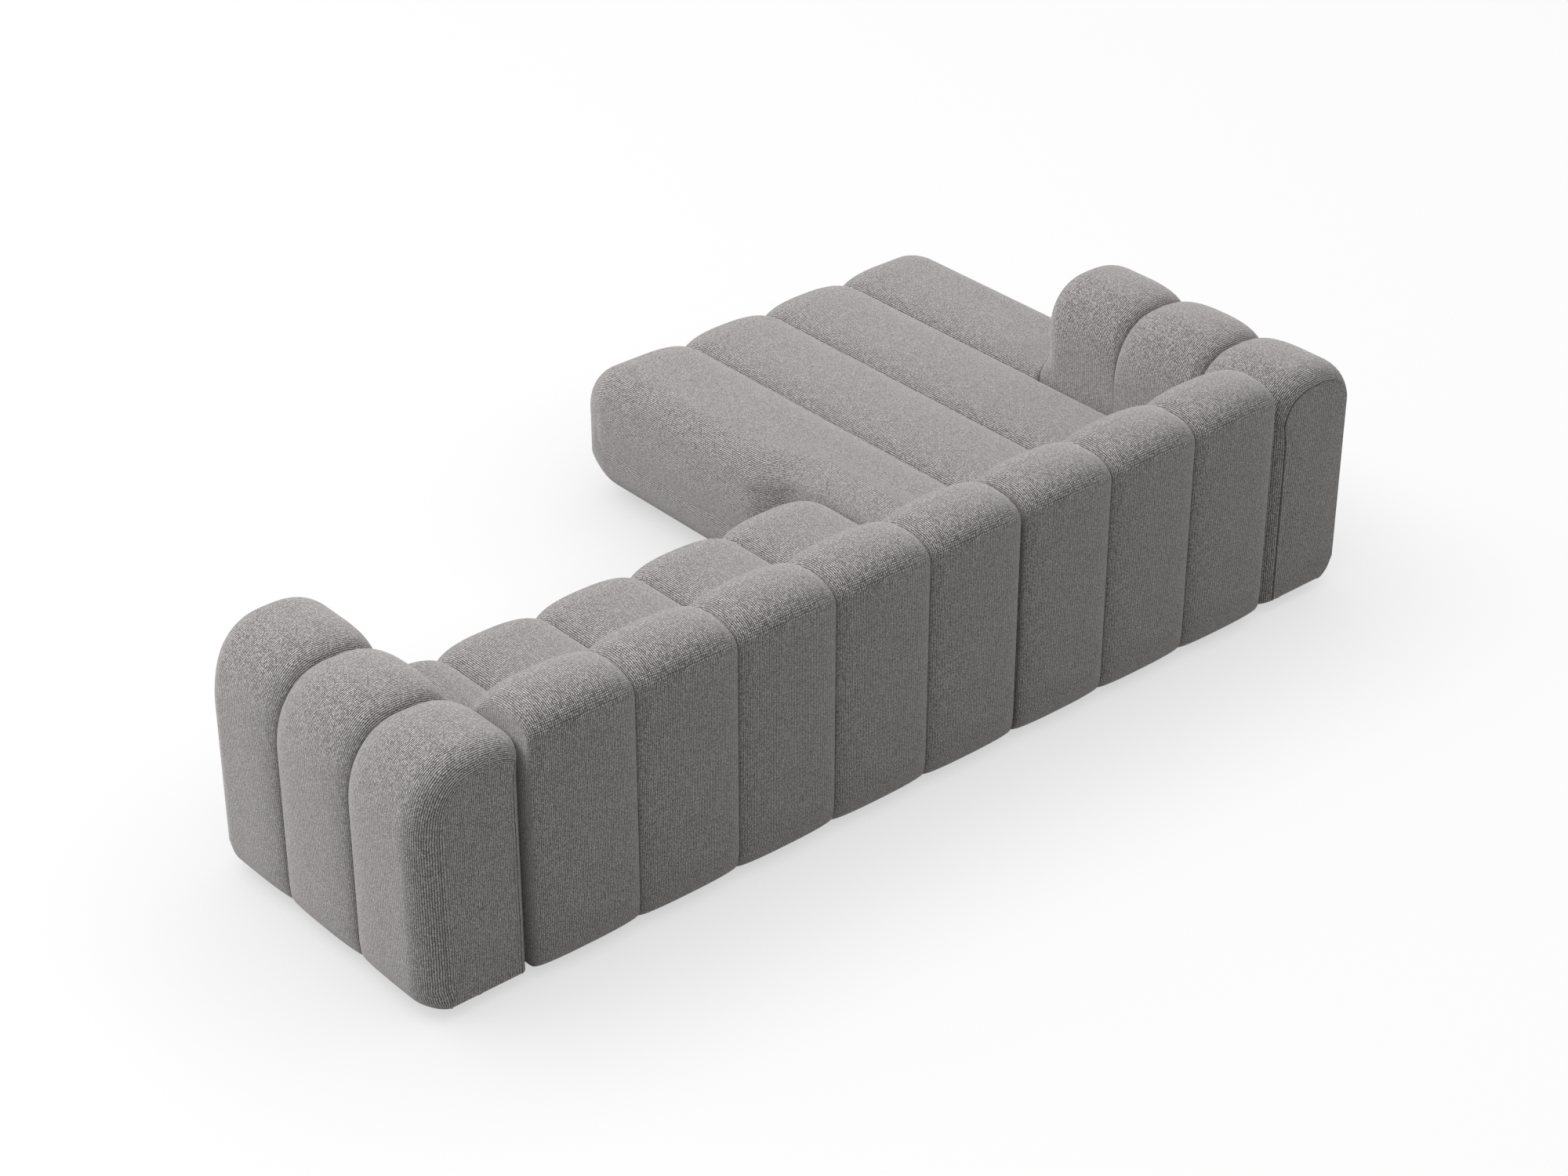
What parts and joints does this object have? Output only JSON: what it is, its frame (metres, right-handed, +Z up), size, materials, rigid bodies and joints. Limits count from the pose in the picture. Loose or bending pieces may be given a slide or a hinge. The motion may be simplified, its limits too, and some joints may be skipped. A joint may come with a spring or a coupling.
{
  "type": "corner sofa",
  "caption": "Channel-tufted corner sofa with a long chaise, low rounded back and arms, and a chaise module that lifts off the seat module's hooked connectors.",
  "frame": {"origin": "centre of the footprint's bounding box, on the floor", "axes": "+X along the back, towards the seat module's arm; +Y from the chaise's front towards the back; +Z up"},
  "size_m": [2.942, 1.713, 0.7078],
  "materials": {
    "upholstery": "woven chenille, matte",
    "plywood": "raw birch plywood",
    "beech": "raw",
    "hardboard": "raw",
    "steel": "zinc plated",
    "feet": "matte",
    "webbing": "woven elastic",
    "lining": "non-woven"
  },
  "bodies": {
    "seat_module": {"back_channel_1": "upholstery", "back_channel_2": "upholstery", "back_channel_3": "upholstery", "back_channel_4": "upholstery", "back_channel_5": "upholstery", "seat_channel_1": "upholstery", "seat_channel_2": "upholstery", "seat_channel_3": "upholstery", "seat_channel_4": "upholstery", "seat_channel_5": "upholstery", "seat_arm_channel_1": "upholstery", "seat_arm_channel_2": "upholstery", "seat_arm_channel_3": "upholstery", "seat_front_rail": "plywood", "seat_mid_rail": "plywood", "seat_rear_rail": "plywood", "seat_arm_end_rail": "plywood", "seat_split_end_rail": "plywood", "seat_cross_rails": "plywood", "seat_corner_blocks": "beech", "seat_webbing": "webbing", "seat_dust_cover": "lining", "seat_feet": "feet", "seat_back_uprights": "plywood", "seat_back_top_board": "plywood", "seat_back_panels": "hardboard", "seat_connector_plates": "steel", "seat_bolts": "steel", "seat_arm_side_panels": "plywood", "seat_arm_ribs": "plywood"},
    "chaise_module": {"back_channel_6": "upholstery", "back_channel_7": "upholstery", "back_channel_8": "upholstery", "chaise_channel_1": "upholstery", "chaise_channel_2": "upholstery", "chaise_channel_3": "upholstery", "chaise_channel_4": "upholstery", "chaise_arm_channel_1": "upholstery", "chaise_arm_channel_2": "upholstery", "chaise_arm_channel_3": "upholstery", "chaise_front_rail": "plywood", "chaise_mid_rail": "plywood", "chaise_rear_rail": "plywood", "chaise_inner_side_rail": "plywood", "chaise_arm_side_rail": "plywood", "chaise_outer_side_rail": "plywood", "chaise_cross_rails": "plywood", "chaise_corner_blocks": "beech", "chaise_webbing": "webbing", "chaise_dust_cover": "lining", "chaise_feet": "feet", "chaise_back_uprights": "plywood", "chaise_back_top_board": "plywood", "chaise_back_panels": "hardboard", "chaise_connector_plates": "steel", "chaise_bolts": "steel", "chaise_arm_side_panels": "plywood", "chaise_arm_ribs": "plywood"}
  },
  "joints": [
    {"name": "chaise_lift_off", "type": "slide", "parent": "seat_module", "child": "chaise_module", "axis": [0, 0, 1], "range_m": [0, 0.08]}
  ]
}
